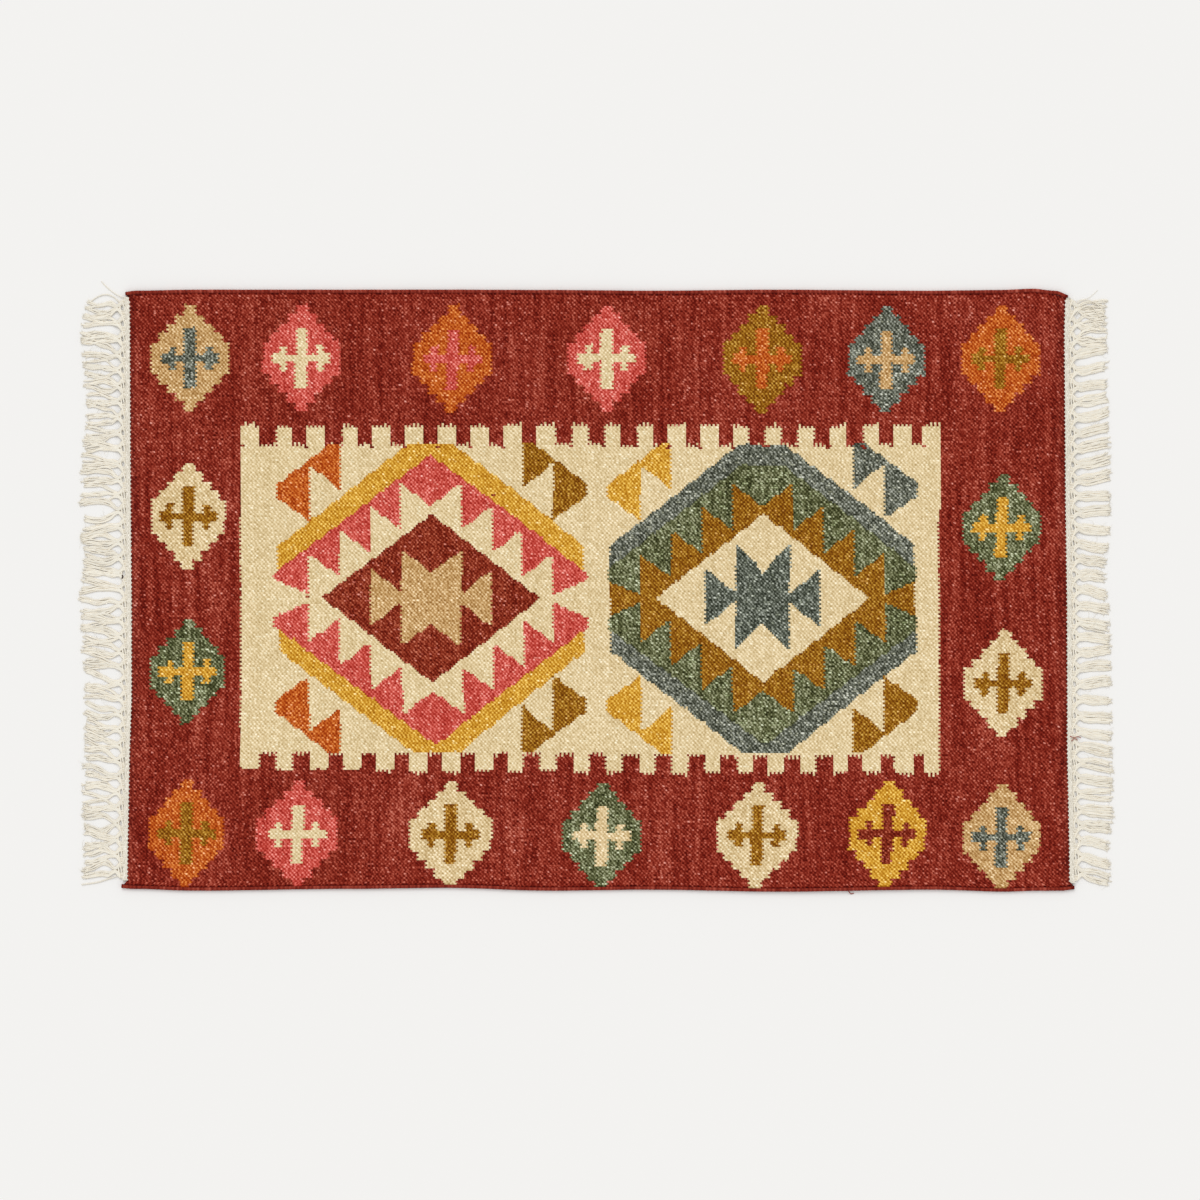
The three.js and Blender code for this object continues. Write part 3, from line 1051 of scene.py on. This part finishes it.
def strand_paths(name, end, dice):
    """The strands, from the heading's edge, round the eyes of the twined row, to their tips."""
    middles, pitch = tuft_middles(end)
    t = np.linspace(0, 1, FREE_STEPS)
    t_root = np.linspace(0, 1, ROOT_STEPS + 1)[:-1]
    root_out = ROOT_OUT + (GATHER_OUT - ROOT_OUT) * t_root
    paths, radii = [], []
    for middle in middles:
        style = tuft_style(name, middle, dice)
        owner, targets = strand_targets(style, dice)
        edge = straight(END_EDGES, middle, end["column"])
        level = ripple(edge, middle)
        tip = end["outward"] * (eased(end["tips"], middle, 1) - edge)
        drift = eased(end["tips"], middle, 2) + dice.uniform(-2.5, 2.5)
        shift = dice.uniform(-1, 1) * style["shift"]
        slope = dice.uniform(-0.3, 0.3)
        sway_phase = dice.uniform(0, 2 * math.pi, style["bundles"])[owner]
        sway_turns = dice.uniform(0.5, 1.0, style["bundles"])[owner]
        for k, side in enumerate(np.linspace(-1, 1, STRANDS)):
            spread = np.sign(side) * EYE_HALF + side * (pitch / 2 - EYE_HALF)
            gathered = side * style["gathered"]
            root_y = spread + (gathered - spread) * ease((t_root - 0.35) / 0.65)
            root_z = TWINE_LEVEL + level + 0.3 * (-1) ** k

            curl_turns, curl_phase = dice.uniform(1.2, 2.6), dice.uniform(0, 2 * math.pi)
            free_y = gathered + (targets[k] - gathered) * ease(t / style["fan"])
            free_y = free_y + shift * ease(t / 0.15) + drift * t ** 1.2
            free_y = free_y + style["sway"] * wave(t, sway_turns[k], sway_phase[k])
            free_y = free_y + style["curl"] * wave(t, curl_turns, curl_phase)
            length = tip + slope * targets[k] + dice.uniform(-4.5, 1.8)
            free_out = GATHER_OUT + (length - GATHER_OUT) * t
            rest = STRAND_RADIUS * SQUASH + dice.choice([0.0, 0.2, 0.5])
            lift = 0.25 * np.abs(np.sin(2 * math.pi * dice.uniform(0.6, 1.4) * t + curl_phase)) * t
            free_z = root_z + (rest - root_z) * ease(t / dice.uniform(0.12, 0.25))

            out = np.concatenate([root_out, free_out])
            y = middle + np.concatenate([root_y, free_y])
            z = np.concatenate([root_z + 0 * t_root, free_z + lift])
            paths.append(np.stack([edge + end["outward"] * out, y, z], -1))
            thick = STRAND_RADIUS * dice.uniform(0.85, 1.1) * (1 - 0.45 * ease((t - 0.93) / 0.07))
            radii.append(np.concatenate([np.full(ROOT_STEPS, thick[0]), thick]))
    return np.array(paths), np.array(radii)


FRAYS, FRAY_STEPS = 2, 5
HAIRS, HAIR_STEPS = 220, 9
# Fibres: the shortest, the longest, their turn at the start and their bend over their length
FRAY_WAY = (2.0, 4.6, 0.28, 0.5)
HAIR_WAY = (5, 13, 0.65, 0.9)


def fibre(t, angle, way, dice):
    """x and y along a fibre that sets off at about an angle and then bends."""
    shortest, longest, turn, bend = way
    length = dice.uniform(shortest, longest)
    angle = angle + dice.normal(0, turn) + dice.normal(0, bend) * t
    return length * t * np.cos(angle), length * t * np.sin(angle)


def frayed_ends(paths, dice):
    """A few fibres that reach past the tip of every strand."""
    t = np.linspace(0, 1, FRAY_STEPS)
    made = []
    for tip, before in zip(paths[:, -2], paths[:, -5]):
        ahead = tip - before
        for _ in range(FRAYS):
            x, y = fibre(t, math.atan2(ahead[1], ahead[0]), FRAY_WAY, dice)
            y = tip[1] + dice.uniform(-0.5, 0.5) + y
            z = np.maximum(tip[2] + dice.uniform(-0.5, 0.6) * t, 0.2)
            made.append(np.stack([tip[0] + x, y, z], -1))
    return np.array(made)


def loose_hairs(paths, outward, dice):
    """Fine fibres that stand off the strands here and there."""
    t = np.linspace(0, 1, HAIR_STEPS)
    made = []
    for _ in range(HAIRS):
        strand = dice.integers(len(paths))
        step = dice.integers(ROOT_STEPS + 4, ROOT_STEPS + FREE_STEPS - 2)
        start = paths[strand, step]
        x, y = fibre(t, 0 if outward > 0 else math.pi, HAIR_WAY, dice)
        z = start[2] + STRAND_RADIUS * 0.5 + dice.uniform(-0.6, 1.2) * np.sin(math.pi * t / 2)
        made.append(np.stack([start[0] + x, start[1] + y, np.maximum(z, 0.15)], -1))
    return np.array(made)


# Loose strands, each with its radius and its points: x, y, z
LOOSE_COTTON = {
    "left": [
        (0.45, [(-552, 341, 1.6), (-560, 345, 1.3), (-567, 350, 1.0), (-573, 355.5, 0.8),
                (-577, 360, 0.7)]),
        (0.60, [(-555, 335, 2.2), (-563, 342, 1.6), (-572, 344.5, 1.2), (-581, 342, 1.0),
                (-590, 336, 0.9)]),
        (0.70, [(-556, -332, 2.0), (-568, -336, 1.2), (-580, -340, 0.9), (-592, -342, 0.8),
                (-600, -343, 0.8)]),
    ],
    "right": [
        (0.22, [(556, 336, 1.8), (564, 338, 1.5), (572, 340, 1.2), (579, 345, 1.0),
                (584, 350, 0.8)]),
        (0.55, [(556, 331, 2.4), (566, 338, 2.2), (578, 336, 2.0), (588, 328, 1.6),
                (592, 318, 1.4)]),
        (0.60, [(558, 320, 2.6), (566, 329, 2.6), (577, 330, 2.4), (584, 321, 2.0),
                (592, 312, 1.6)]),
    ],
}

# Loose wool. Each has its colour's number, its radius and its points
LOOSE_WOOL = [
    (0, 0.5, [(290, -346, 3.0), (293, -350, 2.4), (296.5, -353.6, 1.2), (300, -353, 0.7)]),
    (0, 0.4, [(551, -170, 4.0), (556, -171.5, 4.0), (560, -170.5, 3.9), (564, -172, 3.6)]),
    (0, 0.4, [(553, -176, 3.9), (555, -173.5, 4.1), (558, -173, 4.1), (560, -174.6, 3.8)]),
    (1, 0.8, [(-552.6, 13.6, 3.0), (-551.8, 14.8, 3.6), (-551.6, 16.2, 3.5), (-552.4, 17.4, 2.9)]),
]
LOOSE_STEPS = 25


def smooth_path(points, steps):
    """A smooth line through a few points."""
    points = np.array(points, float)
    padded = np.concatenate([[2 * points[0] - points[1]], points, [2 * points[-1] - points[-2]]])
    place = np.linspace(0, len(points) - 1, steps)
    row = np.minimum(place.astype(int), len(points) - 2)
    t = (place - row)[:, None]
    a, b, c, d = (padded[row + k] for k in range(4))
    bend = (2 * a - 5 * b + 4 * c - d) * t * t + (3 * b - 3 * c + d - a) * t ** 3
    return b + 0.5 * ((c - a) * t + bend)


def tapered(count, steps, radius):
    """Radii of fibres that thin out towards their ends."""
    return np.broadcast_to(radius * (1 - 0.6 * np.linspace(0, 1, steps) ** 2), (count, steps))


def lengths(paths):
    """How far along its path each point of each path is."""
    spans = np.linalg.norm(np.diff(paths, axis=1), axis=2)
    return np.concatenate([np.zeros((len(paths), 1)), np.cumsum(spans, axis=1)], axis=1)


def add_loose(mesh, rows, numbers, region):
    """Adds loose strands from their radii and points."""
    paths = np.array([smooth_path(points, LOOSE_STEPS) for _, points in rows])
    radii = np.array([np.full(LOOSE_STEPS, radius) for radius, _ in rows])
    add_tubes(mesh, paths, radii, 6, lengths(paths), numbers=numbers, squash=0.9,
              grid=(len(rows), 1), region=region)


def make_fringe(name, end, material):
    """The warp ends: gathered by the twining, then loose, with frayed tips and fine hairs."""
    dice = np.random.default_rng(23 if name == "left" else 29)
    paths, radii = strand_paths(name, end, dice)
    frays = frayed_ends(paths, dice)
    hairs = loose_hairs(paths, end["outward"], dice)
    mesh = Mesh()
    add_tubes(mesh, paths, radii, 6, lengths(paths), numbers=3.0 + np.arange(len(paths)),
              squash=SQUASH, grid=(STRANDS, TUFTS), region=(0, 0, 1, 0.86))
    add_tubes(mesh, frays, tapered(len(frays), FRAY_STEPS, 0.34), 4, lengths(frays),
              numbers=1000.0 + np.arange(len(frays)), grid=(40, 28), region=(0, 0.87, 1, 0.93))
    add_tubes(mesh, hairs, tapered(len(hairs), HAIR_STEPS, 0.14), 4, lengths(hairs),
              numbers=3000.0 + np.arange(len(hairs)), grid=(20, 11), region=(0, 0.935, 1, 0.97))
    loose = LOOSE_COTTON[name]
    add_loose(mesh, loose, 4000.0 + np.arange(len(loose)), (0, 0.975, 1, 1))
    piece = mesh.build(f"fringe_{name}_strands", material)
    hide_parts(f"fringe_{name}")
    return piece


def make_loose_wool(material):
    """A few ends and specks of loose wool on the edges."""
    mesh = Mesh()
    rows = [(radius, points) for _, radius, points in LOOSE_WOOL]
    add_loose(mesh, rows, [number for number, _, _ in LOOSE_WOOL], (0, 0, 1, 1))
    return mesh.build("loose_wool", material)


# The scene

CAMERA_HEIGHT = 3302
CAMERA_PLACE = (4.07, -11.4)
LENS = 85
FLOOR_HALF = 6000
FLOOR_DEPTH = 0.1
FLOOR_SEEN = (243.6, 242.6, 240.6)
WORLD_LIGHT = 0.745
SUN_STRENGTH = 1.03
SUN_ELEVATION, SUN_AZIMUTH = 50, 100
SUN_WIDTH = 35


def make_floor():
    """The pale floor."""
    s = Shader("pale_floor")
    inputs = {"Base Color": linear(FLOOR_SEEN), "Roughness": 1.0, "Specular IOR Level": 0.0}
    shader = s.add("BsdfPrincipled", inputs)
    s.add("OutputMaterial", {"Surface": shader.outputs[0]})
    half, low = FLOOR_HALF * MM, -FLOOR_DEPTH * MM
    corners = [(-half, -half, low), (half, -half, low), (half, half, low), (-half, half, low)]
    mesh = bpy.data.meshes.new("floor")
    mesh.from_pydata(corners, [], [(0, 1, 2, 3)])
    mesh.materials.append(s.material)
    floor = bpy.data.objects.new("floor", mesh)
    bpy.context.scene.collection.objects.link(floor)


def make_light():
    """An even dome of light and one broad soft lamp, from the back and a little to the left."""
    world = bpy.data.worlds.new("studio")
    world.use_nodes = True
    background = world.node_tree.nodes["Background"]
    background.inputs["Color"].default_value = (1, 1, 1, 1)
    background.inputs["Strength"].default_value = WORLD_LIGHT
    bpy.context.scene.world = world

    sun = bpy.data.lights.new("softbox", "SUN")
    sun.energy = SUN_STRENGTH
    sun.angle = math.radians(SUN_WIDTH)
    lamp = bpy.data.objects.new("softbox", sun)
    elevation, azimuth = math.radians(SUN_ELEVATION), math.radians(SUN_AZIMUTH)
    level = math.cos(elevation)
    toward = Vector((level * math.cos(azimuth), level * math.sin(azimuth), math.sin(elevation)))
    lamp.rotation_euler = toward.to_track_quat("Z", "Y").to_euler()
    bpy.context.scene.collection.objects.link(lamp)


def make_camera():
    """The camera, straight above, with +Y up in the picture."""
    data = bpy.data.cameras.new("camera")
    data.lens = LENS
    data.sensor_width = 36
    camera = bpy.data.objects.new("camera", data)
    camera.location = (CAMERA_PLACE[0] * MM, CAMERA_PLACE[1] * MM, CAMERA_HEIGHT * MM)
    bpy.context.scene.collection.objects.link(camera)
    bpy.context.scene.camera = camera


bpy.context.scene.view_settings.view_transform = "Standard"
make_camera()
make_light()
make_floor()

wool = woven_material("wool_weave")
cotton = woven_material("cotton_weave")
cord = cord_material("cotton_cord")

cloth = make_cloth(wool)
trim = [make_selvedges(wool), make_loose_wool(loose_material("loose_wool"))]
for name, end in ENDS.items():
    trim.append(make_heading(name, end, cotton))
    trim.append(make_twining(name, end, cord))
    trim.append(make_fringe(name, end, cord))
